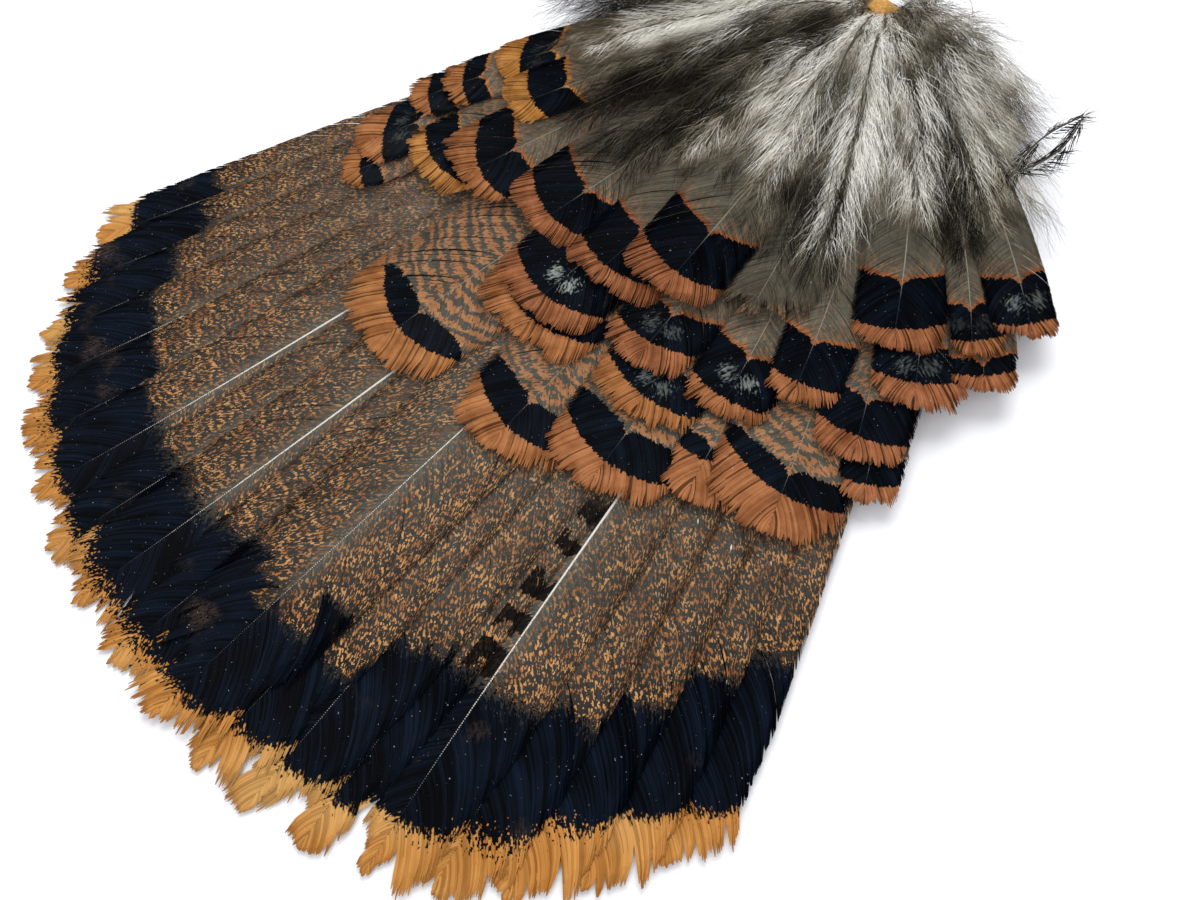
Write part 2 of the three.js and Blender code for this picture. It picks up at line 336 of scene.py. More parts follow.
def feather_tree():
    """Grows one feather on its rails: two rows of barbs that bow towards the tip, and the shaft between."""
    tree, given = start_tree("barbed feather", {
        "Rails": "Geometry", "Barbs per side": 200, "Barb steps": 6, "Barb thickness": 0.0003,
        "Overlap": 1.1, "Bow": 0.12, "Tufts per side": 20.0, "Split": 0.5, "Fringe from": 0.6, "Ragged": 0.1,
        "Tip share": 0.3, "Tip radius": 0.389, "Shaft lift": 0.0003, "Band curve": 6.0, "Slant": 0.0,
        "Fringe mm": 0.0, "Band mm": 0.0, "Plain": 0.0, "Spots": 0.0, "Gold": 0.0, "Seed": 0,
        "Finish": "Material"}, "Feather")
    rails, count, seed = given["Rails"], given["Barbs per side"], given["Seed"]

    # One barb is a three-sided rod with a ridge on top; the rods stand on one point and are bent into place
    # below.
    rod = add(tree, "GeometryNodeMeshCylinder",
              {"Vertices": 3, "Side Segments": given["Barb steps"], "Radius": 1.0, "Depth": 1.0})
    both = add(tree, TIMES, [count, 2.0])
    seats = add(tree, "GeometryNodePoints", {"Count": both})
    seats = add(tree, STORE, {"Geometry": seats, "Name": "barb_number", "Value": add(tree, INDEX)},
                data_type="INT")
    rods = add(tree, "GeometryNodeInstanceOnPoints", {"Points": seats, "Instance": rod})
    rods = add(tree, REALIZE, {"Geometry": rods})

    number = add(tree, READ_WHOLE, ["barb_number"])
    side = add(tree, REMAINDER, [number, 2.0])
    sign = add(tree, TIMES_PLUS, [side, 2.0, -1.0])
    order = add(tree, FLOOR, [add(tree, OVER, [number, 2.0])])
    shape = add(tree, PARTS, [add(tree, POSITION)]).node.outputs
    along = add(tree, PLUS, [shape[2], 0.5])
    chance = add(tree, CHANCE, {"ID": number, "Seed": seed})
    last = add(tree, MINUS, [count, 1.0])
    share = add(tree, OVER, [order, last])

    # Tufts: neighbouring barbs cling together, each tuft by its own amount, so slits open between them. Each
    # row reads the noise at a place of its own, and the numbers of its tufts are kept apart from the other
    # row's.
    own_place = add(tree, TIMES, [seed, 0.37])
    row_place = add(tree, TIMES_PLUS, [side, 31.7, own_place])
    tuft_place = add(tree, TIMES, [share, given["Tufts per side"]])
    wander = add(tree, NOISE, {"W": add(tree, PLUS, [tuft_place, row_place]), "Scale": 0.8, "Detail": 1.0},
                 noise_dimensions="1D")
    tuft_place = add(tree, TIMES_PLUS, [wander, 2.6, tuft_place])
    tuft = add(tree, FLOOR, [tuft_place])
    to_middle = add(tree, MINUS, [add(tree, PLUS, [tuft, 0.5]), tuft_place])
    per_tuft = add(tree, OVER, [count, given["Tufts per side"]])
    middle = add(tree, TIMES_PLUS, [to_middle, per_tuft, order])
    middle = add(tree, "ShaderNodeClamp", [middle, 0.0, last])
    tuft_id = add(tree, TIMES_PLUS, [side, 977.0, tuft])
    tuft_chance = add(tree, CHANCE, {"ID": tuft_id, "Seed": seed})
    cling = add(tree, TIMES, [tuft_chance, given["Split"]])
    near_tip = add(tree, SMOOTH_RANGE, [share, add(tree, MINUS, [1.0, given["Tip share"]]), 1.0, 0.06, 1.0])
    fringe = add(tree, RANGE, [along, given["Fringe from"], 1.0, 0.0, 1.0])
    pull = add(tree, TIMES, [cling, fringe])
    pull = add(tree, TIMES, [pull, add(tree, TIMES_PLUS, [near_tip, 0.65, 0.35])])

    # The root of this barb, its end on the outline, and the same for its neighbour, read off the rails.
    place = add(tree, POSITION)
    ends_from = add(tree, TIMES, [count, add(tree, PLUS, [side, 1.0])])
    beside = add(tree, ABSOLUTE, [add(tree, MINUS, [order, 1.0])])
    indices = [order, beside] + [add(tree, PLUS, [barb, ends_from]) for barb in (order, beside, middle)]
    root, root_beside, end, end_beside, end_middle = [
        add(tree, SAMPLE, {"Geometry": rails, "Value": place, "Index": index}) for index in indices]

    # Its length: the outline, less a ragged share that grows towards the tip of the feather.
    end = add(tree, BETWEEN, [pull, end, end_middle])
    uneven = add(tree, TIMES_PLUS, [chance, 0.3, tuft_chance])
    uneven = add(tree, TIMES, [uneven, add(tree, TIMES, [given["Ragged"], near_tip])])
    reach = add(tree, MINUS, [1.0, uneven])
    end = add(tree, BETWEEN, [reach, root, end])

    # A bowed path from root to end.
    straight = add(tree, VECTOR_MINUS, [end, root])
    outward = add(tree, CROSS, [(0.0, 0.0, 1.0), straight])
    bow = add(tree, TIMES,
              [add(tree, TIMES, [sign, given["Bow"]]), add(tree, TIMES_PLUS, [tuft_chance, 0.5, 0.75])])
    bent = add(tree, SCALED, {"Vector": outward, "Scale": bow})
    half_way = add(tree, BETWEEN, [0.5, root, end])
    control = add(tree, VECTOR_PLUS, [half_way, bent])
    lower = add(tree, BETWEEN, [along, root, control])
    upper = add(tree, BETWEEN, [along, control, end])
    path = add(tree, BETWEEN, [along, lower, upper])
    heading = add(tree, VECTOR_MINUS, [upper, lower])
    across = add(tree, DIRECTION, [add(tree, CROSS, [(0.0, 0.0, 1.0), heading])])

    # As wide as the gap to the neighbour, and a fine point at the end.
    root_gap = add(tree, DISTANCE, [root, root_beside])
    end_gap = add(tree, DISTANCE, [end, end_beside])
    end_gap = add(tree, LEAST, [end_gap, add(tree, TIMES, [root_gap, 1.6])])
    gap = add(tree, MIX, [along, root_gap, end_gap])
    point = add(tree, RANGE, [along, 0.8, 1.0, 1.0, 0.2])
    half_width = add(tree, TIMES,
                     [add(tree, TIMES, [gap, point]), add(tree, TIMES, [given["Overlap"], ROD_WIDTH])])
    sideways = add(tree, TIMES, [shape[1], half_width])
    height = add(tree, TIMES, [shape[0], add(tree, TIMES, [given["Barb thickness"], ROD_HEIGHT])])
    height = shifted(tree, height, chance, add(tree, TIMES, [given["Barb thickness"], 0.5]))
    aside = add(tree, SCALED, {"Vector": across, "Scale": sideways})
    raised = add(tree, COMBINED, [0.0, 0.0, height])
    spot = add(tree, VECTOR_PLUS, [add(tree, VECTOR_PLUS, [path, aside]), raised])

    # Millimetre places on the vane, for the markings: along the barb, across the vane and back from the tip.
    forward = add(tree, DIRECTION, [add(tree, VECTOR_MINUS, [root, root_beside])])
    off_shaft = add(tree, CROSS, [add(tree, VECTOR_MINUS, [path, root]), forward])
    off_mm = add(tree, SCALED, {"Vector": off_shaft, "Scale": TO_MM})
    off = add(tree, LENGTH, [off_mm])
    signed = add(tree, TIMES, [off, sign])
    flat = add(tree, VECTOR_TIMES, [path, (1.0, 1.0, 0.0)])
    radius = add(tree, LENGTH, [flat])
    from_tip = add(tree, TIMES, [add(tree, MINUS, [given["Tip radius"], radius]), TO_MM])
    bend = add(tree, POWER, [add(tree, OVER, [off, CURVE_AT]), 2.0])
    from_tip = add(tree, TIMES_PLUS, [bend, add(tree, TIMES, [given["Band curve"], -1.0]), from_tip])
    from_tip = add(tree, TIMES_PLUS, [signed, given["Slant"], from_tip])
    barb_length = add(tree, LENGTH, [straight])
    barb_mm = add(tree, TIMES, [add(tree, TIMES, [barb_length, along]), TO_MM])
    root_mm = add(tree, TIMES, [add(tree, LENGTH, [root]), TO_MM])
    over_barb = add(tree, TIMES_PLUS, [add(tree, TIMES, [shape[1], root_gap]),
                                       add(tree, TIMES, [sign, -ROD_WIDTH * TO_MM]), root_mm])
    # The two sides of a vane read their patterns 500 mm apart, so they don't mirror each other.
    side_shift = add(tree, TIMES_PLUS, [side, 500.0, over_barb])
    vane_place = add(tree, COMBINED, [signed, from_tip, tuft_chance])
    barb_place = add(tree, COMBINED, [side_shift, barb_mm, chance])
    map_along = add(tree, TIMES, [radius, MAP_PER_METRE])
    map_across = add(tree, TIMES_PLUS, [signed, MAP_PER_MM, MAP_MIDDLE])
    flat_map = add(tree, COMBINED, [map_across, map_along, 0.0])
    vane = rods
    for name, value in (("vane_place", vane_place), ("barb_place", barb_place), ("flat_map", flat_map)):
        vane = add(tree, STORE, {"Geometry": vane, "Name": name, "Value": value}, data_type="FLOAT_VECTOR")
    vane = add(tree, SET_POSITION, {"Geometry": vane, "Position": spot})

    # The shaft, a tapered rod that lies on the vane.
    line = add(tree, "GeometryNodeMeshToCurve", {"Mesh": rails})
    thick = add(tree, READ, ["shaft_radius"])
    ring = add(tree, "GeometryNodeCurvePrimitiveCircle", {"Resolution": 7, "Radius": 1.0})
    shaft = add(tree, "GeometryNodeCurveToMesh",
                {"Curve": line, "Profile Curve": ring, "Scale": thick, "Fill Caps": True})
    lift = add(tree, COMBINED, [0.0, 0.0, given["Shaft lift"]])
    shaft = add(tree, SET_POSITION, {"Geometry": shaft, "Offset": lift})
    here = add(tree, POSITION)
    here_radius = add(tree, LENGTH, [add(tree, VECTOR_TIMES, [here, (1.0, 1.0, 0.0)])])
    here_tip = add(tree, TIMES, [add(tree, MINUS, [given["Tip radius"], here_radius]), TO_MM])
    shaft_place = add(tree, COMBINED, [0.0, here_tip, 0.0])
    shaft_map = add(tree, COMBINED, [MAP_SHAFT, add(tree, TIMES, [here_radius, MAP_PER_METRE]), 0.0])
    for name, value, kind in (("vane_place", shaft_place, "FLOAT_VECTOR"),
                              ("flat_map", shaft_map, "FLOAT_VECTOR"), ("is_shaft", 1.0, "FLOAT")):
        shaft = add(tree, STORE, {"Geometry": shaft, "Name": name, "Value": value}, data_type=kind)

    marks = add(tree, COMBINED, [given["Fringe mm"], given["Band mm"], given["Plain"]])
    extras = add(tree, COMBINED, [given["Spots"], given["Gold"], 0.0])
    bake_map = add(tree, READ_VECTOR, ["flat_map"])
    return end_tree(tree, shaft, vane, bake_map, {"marks": marks, "extras": extras}, given["Finish"])


def grow(name, mesh, tree, sizes):
    """Runs a tree on a mesh with the given sizes and gives back the plain mesh piece."""
    host = put(name + " rails", mesh)
    modifier = host.modifiers.new(tree.name, "NODES")
    modifier.node_group = tree
    for item in tree.interface.items_tree:
        if item.item_type == "SOCKET" and item.in_out == "INPUT" and item.name in sizes:
            modifier[item.identifier] = sizes[item.name]
    bpy.context.view_layer.update()
    done = host.evaluated_get(bpy.context.evaluated_depsgraph_get())
    result = bpy.data.meshes.new_from_object(done)
    bpy.data.objects.remove(host)
    bpy.data.meshes.remove(mesh)
    result.name = name
    return put(name, result)


# Outer half widths of the vanes that leave the next feather's shaft bare, by the angle of the feather.
NARROW_OUTER = {-8.7: 17.0, -0.8: 17.5, 13.2: 14.0}
# Two tail feathers meet in a row of black bars: 1 has them on its right vane, -1 on its left.
BARRED = {13.2: 1.0, 16.4: -1.0}
# Of each tail feather: length of its gold tip and of its dark band in mm, and how ragged it has worn.
TAIL_MARKS = [
    (17, 41, 0.45), (12, 51, 0.4), (12, 47, 0.45), (12, 42, 0.35), (11, 45, 0.4), (11, 40, 0.4),
    (11, 40, 0.3), (11, 41, 0.4), (12, 45, 0.55), (13, 44, 0.7), (18, 40, 0.75), (18, 53, 0.7),
    (17, 50, 0.6), (18, 45, 0.55), (19, 43, 0.45), (24, 41, 0.3), (24, 44, 0.3), (18, 48, 0.45)]
# Widths of a tail vane: half of the middle one, an outer vane, what it loses towards the fan's edges, and the
# least and most of an inner vane, which stops just short of the next shaft.
MIDDLE_HALF = 26.5
OUTER_WIDTH = 22.0
OUTER_LOSS = 5.0
INNER_LEAST = 2.0
INNER_MOST = 31.0
SHAFT_CLEARANCE = 0.6
TAIL_VANE_START = 68.0
TAIL_BARBS = 330
COVERT_BARBS = 170
# Radius of a shaft at its root, at 3 and 7 tenths of its length and at its tip.
TOP_SHAFT = (1.25, 0.62, 0.25, 0.06)
SIDE_SHAFT = (1.3, 0.8, 0.42, 0.1)
COVERT_SHAFT = (0.8, 0.4, 0.26, 0.1)


def tip_radius(t):
    return FAN_RADIUS - TIP_FALL * abs(t - LONGEST_AT) ** FALL_POWER


def tail_feathers(tree, finish):
    """The 18 rectrices. The middle one is on top, and the others tuck their inner vanes under the next."""
    t_top = TOP_ANGLE / SPREAD_TIP
    for number, angle in enumerate(TAIL_ANGLES, 1):
        t = angle / SPREAD_TIP
        side = int(np.sign(round(angle - TOP_ANGLE, 6)))
        tip = tip_radius(t)

        def inner(r, t=t, t_top=t_top):
            to_top = abs(t - t_top) * spacing_at((t + t_top) / 2, r) - SHAFT_CLEARANCE
            return np.minimum(INNER_MOST, np.maximum(INNER_LEAST, to_top))

        def outer(r, t=t, narrow=NARROW_OUTER.get(angle)):
            return np.full_like(r, narrow or OUTER_WIDTH - OUTER_LOSS * t ** 4)

        def middle(r):
            return np.full_like(r, MIDDLE_HALF)

        def height(x, y, t=t, side=side):
            lift = TOP_LIFT if side == 0 else 0.0
            return bed_height(x, y) + lift + side * TAIL_SLOPE * (fan_position(x, y) - t)

        widths = {0: (middle, middle), -1: (outer, inner), 1: (inner, outer)}[side]
        name = f"tail_feather_{number:02d}_vane"
        feather = Feather(name, t, tip, TAIL_VANE_START, *widths, height, shaft_end=tip - 4, sweep=1.45,
                          square=4.5, round_from=0.92)
        shaft = TOP_SHAFT if side == 0 else SIDE_SHAFT
        gold, band, ragged = TAIL_MARKS[number - 1]
        piece = grow(name, feather.rails(TAIL_BARBS, shaft), tree,
                     {"Barbs per side": TAIL_BARBS, "Barb steps": 5, "Barb thickness": 0.3 * MM,
                      "Overlap": 1.15, "Bow": 0.16, "Tufts per side": 24.0, "Split": 0.9, "Fringe from": 0.3,
                      "Ragged": ragged, "Tip radius": tip * MM, "Band curve": 2.0, "Shaft lift": -0.12 * MM,
                      "Tip share": 0.34, "Spots": BARRED.get(angle, 0.0), "Fringe mm": float(gold),
                      "Band mm": float(band), "Seed": number, "Finish": finish})
        keep(piece, f"tail_feather_{number:02d}", "tail_vane")


def keep(piece, node, slot):
    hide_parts(node)
    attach(piece, "root")


def coverts(tree, finish):
    """Five rows of coverts. In a row, each feather overlaps the one on its left."""
    seed = 100
    for row, (lift, start, slot, feathers) in ROWS.items():
        for number, values in enumerate(feathers, 1):
            angle, tip, left, right, fringe, band, slant, plain, spots, gold = values
            t = float(position_at(angle, float(tip)))
            seed += 1

            def height(x, y, t=t, lift=lift):
                return bed_height(x, y) + lift + ROW_SLOPE * (t - fan_position(x, y))

            widths = [lambda r, half=half: np.full_like(r, float(half)) for half in (left, right)]
            node = f"{row}_{number:02d}"
            feather = Feather(node + "_vane", t, tip, start, *widths, height, shaft_end=tip - 6, sweep=1.1,
                              square=4.2, round_from=0.88)
            piece = grow(node + "_vane", feather.rails(COVERT_BARBS, COVERT_SHAFT), tree,
                         {"Barbs per side": COVERT_BARBS, "Barb steps": 5, "Barb thickness": 0.28 * MM,
                          "Overlap": 1.12, "Bow": 0.14, "Tip radius": tip * MM, "Shaft lift": 0.0,
                          "Tip share": 0.4, "Seed": seed, "Finish": finish, "Tufts per side": 46.0,
                          "Split": 1.0, "Fringe from": 0.62 if fringe else 0.2,
                          "Ragged": 0.2 if fringe else 0.9, "Band curve": 8.0, "Slant": slant,
                          "Fringe mm": float(fringe), "Band mm": float(band), "Plain": plain, "Spots": spots,
                          "Gold": gold})
            keep(piece, node, slot)


# ---- Down ----

# Down by direction across the fan: how far it reaches from the root, how pale it is there, and how pale the
# crown above it is.
DOWN_LOCKS = [
    (-94, 46, 0.5, 0.4), (-80, 82, 0.55, 0.45), (-66, 140, 0.2, 0.5), (-56, 150, 0.05, 0.85),
    (-50, 146, 0.55, 1.0), (-44, 136, 1.0, 1.0), (-37, 132, 0.75, 0.5), (-31, 138, 0.55, 0.2),
    (-26, 150, 0.0, 0.1), (-12, 146, 0.05, 0.05), (-7, 124, 0.85, 0.05), (0, 118, 0.7, 0.0),
    (8, 120, 0.65, 0.1), (14, 124, 1.15, 0.95), (18, 136, 0.6, 0.7), (21, 156, 0.1, 0.25),
    (26, 158, 0.2, 0.4), (29, 148, 1.5, 1.0), (32, 134, 1.2, 1.1), (36, 128, 0.6, 0.9), (42, 122, 0.85, 0.4),
    (47, 126, 1.0, 0.15), (50, 134, 0.05, 0.05), (55, 138, 0.1, 0.2), (59, 136, 1.0, 0.7),
    (64, 118, 0.6, 0.5), (72, 90, 0.75, 0.35), (84, 72, 0.55, 0.4), (94, 44, 0.6, 0.5)]
LOCK_AT, LOCK_REACH, LOCK_TONE, CROWN_TONE = (list(column) for column in zip(*DOWN_LOCKS))
# Layers of plumes: how many, where they start, the share of the reach they cover, their lift, their fibres.
DOWN_LAYERS = [
    ("lower", 40, 44.0, 1.0, 3.5, 13.0),
    ("middle", 38, 26.0, 0.84, 8.0, 13.0),
    ("upper", 30, 12.0, 0.66, 11.0, 12.0),
    ("crown", 20, 8.0, 0.44, 10.0, 10.0),
]
# How far the plumes gather into locks, from 0 to 1.
LOCK_PULL = 0.75
# What the down lies on: the top of the root as far as its rim, then the stack of rump feathers.
ROOT_TOP = 24.0
ROOT_RIM = 40.0
RIM_BLEND = 30.0
RUMP_STACK = 14.4
# The curled plume: its foot, what it covers up to its tip, how wide its strands part, and how pale it is.
CURL_FOOT = (84.0, -56.0, 15.0)
CURL_RUN = (12.5, 47.0, 13.0)
CURL_PART = 4.0
CURL_TONE = -0.45


def down_tree():
    """Grows down on plume shafts: fine fibres to both sides that bend forward, curl and cling in wisps."""
    tree, given = start_tree("downy plume", {
        "Shafts": "Geometry", "Fibre spacing": 0.0002, "Fibre length": 0.015, "Fibre radius": 0.00012,
        "Fibre steps": 4, "Curl": 0.006, "Wisp": 0.008, "Lift": 0.35, "Highest": 0.05, "Seed": 0,
        "Finish": "Material"}, "Down")
    seed = given["Seed"]

    line = add(tree, "GeometryNodeMeshToCurve", {"Mesh": given["Shafts"]})
    sown = add(tree, "GeometryNodeCurveToPoints", {"Curve": line, "Length": given["Fibre spacing"]},
               mode="LENGTH")
    tangent = sown.node.outputs["Tangent"]
    here = add(tree, POSITION)
    outward = add(tree, SIGN, [add(tree, DOT, [tangent, here])])
    heading = add(tree, SCALED, {"Vector": tangent, "Scale": outward})
    seats = sown
    for name, value, kind in (("fibre_root", here, "FLOAT_VECTOR"),
                              ("fibre_heading", heading, "FLOAT_VECTOR"),
                              ("fibre_number", add(tree, INDEX), "INT")):
        seats = add(tree, STORE, {"Geometry": seats, "Name": name, "Value": value}, data_type=kind)
    rod = add(tree, "GeometryNodeMeshCone", {"Vertices": 3, "Side Segments": given["Fibre steps"],
                                             "Radius Top": 0.25, "Radius Bottom": 1.0, "Depth": 1.0})
    fibres = add(tree, "GeometryNodeInstanceOnPoints", {"Points": seats, "Instance": rod})
    fibres = add(tree, REALIZE, {"Geometry": fibres})

    root = add(tree, READ_VECTOR, ["fibre_root"])
    ahead = add(tree, READ_VECTOR, ["fibre_heading"])
    number = add(tree, READ_WHOLE, ["fibre_number"])
    share = add(tree, READ, ["share"])
    plume = add(tree, READ, ["plume"])
    chances = []
    for offset in range(4):
        own = add(tree, PLUS, [seed, float(offset * 53)])
        chances.append(add(tree, CHANCE, {"ID": number, "Seed": own}))
    which, turn_and_painted_slit_shade, longer, raised = chances
    side = add(tree, TIMES_PLUS, [add(tree, ABOVE, [which, 0.5]), 2.0, -1.0])
    local = add(tree, VECTOR_MINUS, [add(tree, POSITION), root])
    shape = add(tree, PARTS, [local]).node.outputs
    along = add(tree, PLUS, [shape[2], 0.5])

    # Straight way: off the shaft at 14 to 57 degrees, shorter at both ends of the plume.
    angle = add(tree, RANGE, [turn_and_painted_slit_shade, 0.0, 1.0, 0.25, 1.0])
    aside = add(tree, CROSS, [(0.0, 0.0, 1.0), ahead])
    aside = add(tree, SCALED, {"Vector": add(tree, DIRECTION, [aside]),
                               "Scale": add(tree, TIMES, [add(tree, SINE, [angle]), side])})
    forward = add(tree, SCALED, {"Vector": ahead, "Scale": add(tree, COSINE, [angle])})
    upward = add(tree, COMBINED,
                 [0.0, 0.0, add(tree, TIMES, [add(tree, MINUS, [raised, 0.35]), given["Lift"]])])
    way = add(tree, VECTOR_PLUS, [add(tree, VECTOR_PLUS, [aside, forward]), upward])
    length = add(tree, SMOOTH_RANGE, [share, 0.0, 0.35, 0.45, 1.0])
    length = add(tree, TIMES, [length, add(tree, RANGE, [share, 0.75, 1.0, 1.0, 0.75])])
    length = add(tree, TIMES, [length, add(tree, RANGE, [longer, 0.0, 1.0, 0.45, 1.15])])
    length = add(tree, TIMES, [length, given["Fibre length"]])
    reach = add(tree, TIMES, [length, along])
    path = add(tree, SCALED, {"Vector": way, "Scale": reach})

    # It bends towards the tip of the plume, droops, clings to its wisp and curls on its own.
    squared = add(tree, POWER, [along, 2.0])
    bend = add(tree, TIMES, [add(tree, TIMES, [squared, length]), 0.6])
    path = add(tree, VECTOR_PLUS, [path, add(tree, SCALED, {"Vector": ahead, "Scale": bend})])
    droop = add(tree, TIMES, [bend, -0.75])
    path = add(tree, VECTOR_PLUS, [path, add(tree, COMBINED, [0.0, 0.0, droop])])
    for scale, size, drift in ((150.0, given["Wisp"], 0.35), (60.0, given["Curl"], 6.0)):
        own = add(tree, PLUS, [add(tree, TIMES, [turn_and_painted_slit_shade, drift]), add(tree, TIMES, [plume, 7.3])])
        time = add(tree, TIMES_PLUS, [along, 0.8, own])
        stir = add(tree, NOISE, {"Vector": root, "W": time, "Scale": scale, "Detail": 1.0}, out="Color",
                   noise_dimensions="4D")
        stir = add(tree, VECTOR_MINUS, [stir, (0.5, 0.5, 0.5)])
        much = add(tree, TIMES, [add(tree, POWER, [along, 1.4]), size])
        path = add(tree, VECTOR_PLUS, [path, add(tree, SCALED, {"Vector": stir, "Scale": much})])
    spot = add(tree, VECTOR_PLUS, [path, root])

    # The rod's own thickness.
    thick = add(tree, SCALED,
                {"Vector": add(tree, COMBINED, [shape[0], shape[1], 0.0]), "Scale": given["Fibre radius"]})
    round_way = add(tree, "FunctionNodeAlignRotationToVector", {"Vector": way}, axis="Z")
    thick = add(tree, "FunctionNodeRotateVector", [thick, round_way])
    spot = add(tree, VECTOR_PLUS, [spot, thick])
    # No fibre rises past the highest place allowed, or goes under the table.
    top = add(tree, COMBINED, [10.0, 10.0, given["Highest"]])
    spot = add(tree, VECTOR_LEAST, [spot, top])
    spot = add(tree, VECTOR_MOST, [spot, (-10.0, -10.0, 0.4 * MM)])
    tint = add(tree, COMBINED, [along, share, turn_and_painted_slit_shade])
    down = add(tree, STORE, {"Geometry": fibres, "Name": "fibre_place", "Value": tint},
               data_type="FLOAT_VECTOR")
    down = add(tree, STORE, {"Geometry": down, "Name": "plume_chance", "Value": plume}, data_type="FLOAT")
    down = add(tree, SET_POSITION, {"Geometry": down, "Position": spot})

    # The plume's own shaft.
    ring = add(tree, "GeometryNodeCurvePrimitiveCircle", {"Resolution": 5, "Radius": 1.0})
    shaft = add(tree, "GeometryNodeCurveToMesh",
                {"Curve": line, "Profile Curve": ring, "Scale": add(tree, READ, ["shaft_radius"]),
                 "Fill Caps": True})
    shaft = add(tree, STORE, {"Geometry": shaft, "Name": "is_shaft", "Value": 1.0}, data_type="FLOAT")
    place = add(tree, PARTS, [add(tree, POSITION)]).node.outputs
    map_x = add(tree, TIMES_PLUS, [place[0], 2.6, 0.5])
    map_y = add(tree, TIMES_PLUS, [place[1], -4.0, 0.2])
    return end_tree(tree, shaft, down, add(tree, COMBINED, [map_x, map_y, 0.0]), {}, given["Finish"])


def down_floor(x, y):
    blend = np.clip((np.hypot(x, y) - ROOT_RIM) / RIM_BLEND, 0, 1)
    return ROOT_TOP * (1 - blend) + (bed_height(x, y) + RUMP_STACK) * blend


def plume_shafts(name, draw, directions, start, share, lift, thick=0.3, tone_by_lock=LOCK_TONE):
    """A mesh of plume shafts that leave the root like the ribs of a fan, each with a wander of its own."""
    stations = 22
    points, edges, shares, tones, radii = [], [], [], [], []
    for direction in directions:
        reach = np.interp(direction, LOCK_AT, LOCK_REACH) * share * draw.uniform(0.88, 1.0) - 7.0
        reach = max(reach, start + 15.0)
        wander = draw.uniform(-4.0, 4.0)
        own_lift = lift * draw.uniform(0.5, 1.15)
        step = np.linspace(0, 1, stations)
        r = start + (reach - start) * step
        angle = np.radians(direction + wander * step ** 1.5)
        x, y = r * np.sin(angle), -r * np.cos(angle)
        z = down_floor(x, y) + 0.8 + own_lift * np.sin(math.pi * np.minimum(1, step * 0.9 + 0.08))
        first = len(points)
        points += np.stack([x, y, z], axis=-1).tolist()
        edges += [(first + i, first + i + 1) for i in range(stations - 1)]
        shares += step.tolist()
        tone = np.interp(direction, LOCK_AT, tone_by_lock) + draw.uniform(-0.15, 0.15)
        tones += [tone] * stations
        radii += np.interp(step, [0, 1], [thick, 0.08]).tolist()
    return shaft_mesh(name, np.array(points), edges, shares, tones, np.array(radii))


def shaft_mesh(name, points, edges, shares, tones, radii):
    mesh = bpy.data.meshes.new(name)
    mesh.from_pydata((points * MM).tolist(), edges, [])
    for key, values in (("share", shares), ("plume", tones), ("shaft_radius", radii * MM)):
        mesh.attributes.new(key, "FLOAT", "POINT").data.foreach_set("value", np.array(values, np.float32))
    return mesh


def curled_plume():
    """A thin dark plume that stands out at the right and parts into two strands that meet again."""
    step = np.linspace(0, 1, 30)
    parted = np.sin(math.pi * np.clip((step - 0.35) / 0.65, 0, 1)) * CURL_PART
    points, edges = [], []
    for side in (-1, 1):
        first = len(points)
        strand = np.array(CURL_FOOT) + np.stack([np.sqrt(step), step, step], axis=-1) * CURL_RUN
        strand[:, 0] += side * parted
        points += strand.tolist()
        edges += [(first + i, first + i + 1) for i in range(step.size - 1)]
    radii = np.interp(step, [0, 1], [0.45, 0.3])
    return shaft_mesh("curled plume", np.array(points), edges, np.tile(step, 2),
                      np.full(len(points), CURL_TONE), np.tile(radii, 2))


def rump_down(tree, finish):
    def plume(name, mesh, seed, **sizes):
        given = {"Fibre spacing": 0.19 * MM, "Fibre radius": 0.085 * MM, "Fibre steps": 3, "Curl": 5 * MM,
                 "Wisp": 12 * MM, "Lift": 0.7, "Highest": 50 * MM, "Seed": seed, "Finish": finish, **sizes}
        keep(grow("down_" + name, mesh, tree, given), "rump_down", "down")

    for number, (layer, count, start, share, lift, fibre) in enumerate(DOWN_LAYERS):
        draw = np.random.default_rng(40 + number)
        directions = np.linspace(LOCK_AT[0], LOCK_AT[-1], count)
        nearest = np.array(LOCK_AT)[np.abs(directions[:, None] - LOCK_AT).argmin(axis=1)]
        directions += LOCK_PULL * (nearest - directions) + draw.uniform(-1.6, 1.6, count)
        tones = CROWN_TONE if start < 20 else LOCK_TONE
        for side, half in (("left", directions[:count // 2]), ("right", directions[count // 2:])):
            name = f"{layer}_{side}"
            shafts = plume_shafts(name, draw, half, start, share, lift, tone_by_lock=tones)
            plume(name, shafts, 500 + 2 * number + (side == "right"), **{"Fibre length": fibre * MM})
    draw = np.random.default_rng(60)
    quills = plume_shafts("quills", draw, [13.0, 20.0, 31.0], 22.0, 0.62, 15.0, thick=0.85)
    plume("quills", quills, 520, **{"Fibre length": 7 * MM})
    plume("curled", curled_plume(), 530, **{"Fibre length": 4 * MM, "Fibre spacing": 0.3 * MM, "Wisp": 2 * MM,
                                            "Fibre radius": 0.2 * MM, "Lift": 0.1, "Curl": 1 * MM})


